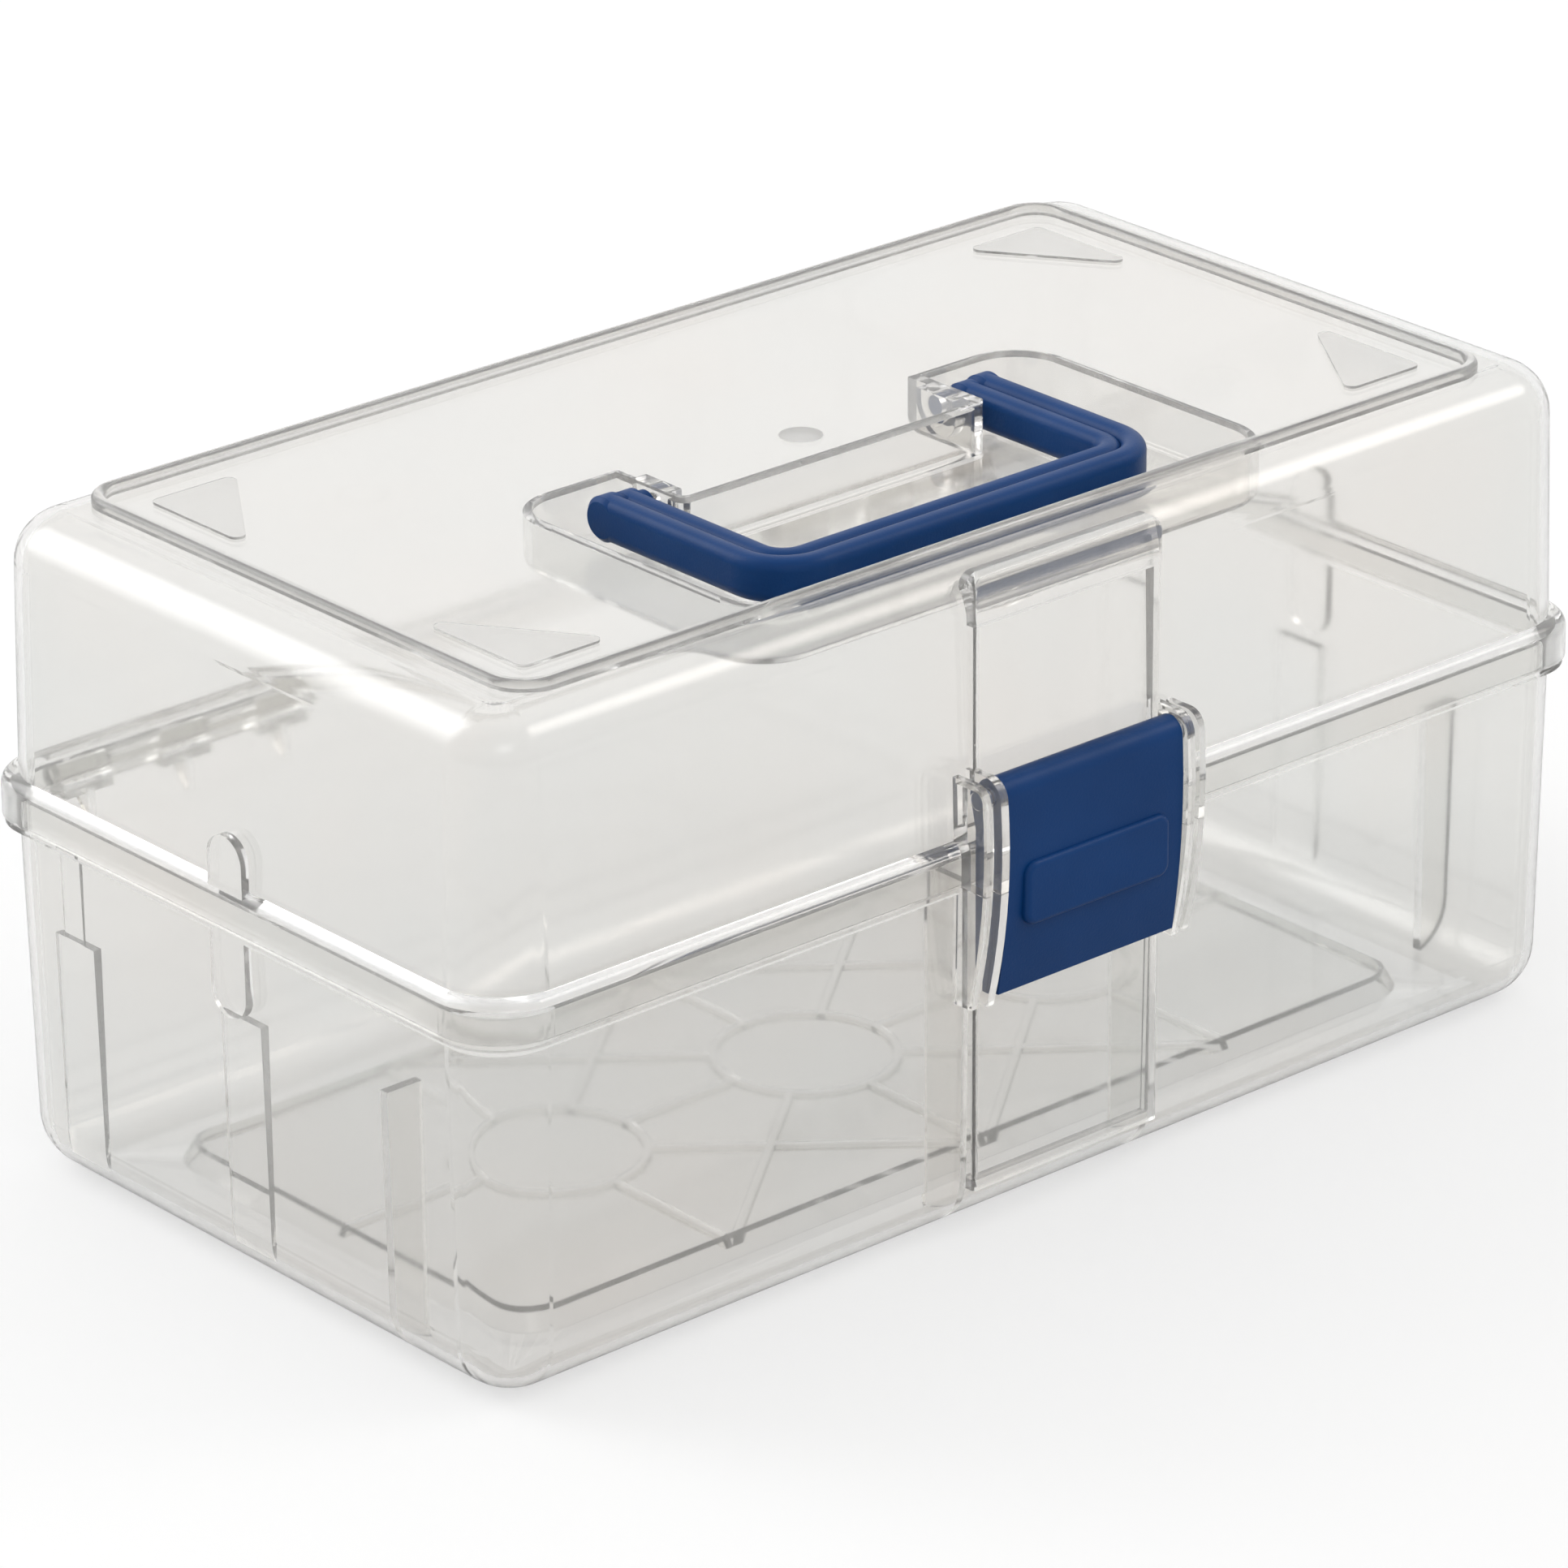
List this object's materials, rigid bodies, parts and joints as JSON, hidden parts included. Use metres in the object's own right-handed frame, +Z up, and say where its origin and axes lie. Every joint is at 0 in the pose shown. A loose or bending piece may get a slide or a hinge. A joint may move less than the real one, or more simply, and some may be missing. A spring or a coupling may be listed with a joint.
{
  "type": "plastic tool box",
  "caption": "Clear plastic tool box with a hinged domed lid, a U-shaped handle that folds into a pocket in the lid, and a flip latch on the front.",
  "frame": {"origin": "on the tabletop, under the centre of the whole object's box", "axes": "+X along the box to the right as seen from the latch, -Y towards the latch, +Z up"},
  "size_m": [0.33, 0.198, 0.161],
  "materials": {
    "clear_plastic": "clear injection-moulded styrene, polished, faintly grey",
    "clear_rod": "clear extruded rod",
    "blue_plastic": "fine satin texture, mid blue"
  },
  "bodies": {
    "tub": {"base_tub": "clear_plastic", "hinge_rod_left": "clear_rod", "hinge_rod_right": "clear_rod"},
    "lid": {"lid": "clear_plastic"},
    "handle": {"handle": "blue_plastic"},
    "latch": {"latch": "blue_plastic"}
  },
  "joints": [
    {"name": "lid_hinge", "type": "hinge", "parent": "tub", "child": "lid", "pos_m": [0, 0.09475, 0.087], "axis": [-1, 0, 0], "range_deg": [0, 105]},
    {"name": "handle_swing", "type": "hinge", "parent": "lid", "child": "handle", "pos_m": [0, -0.001, 0.1536], "axis": [-1, 0, 0], "range_deg": [0, 120]},
    {"name": "latch_swing", "type": "hinge", "parent": "lid", "child": "latch", "pos_m": [0, -0.0933, 0.108], "axis": [-1, 0, 0], "range_deg": [0, 100]}
  ]
}
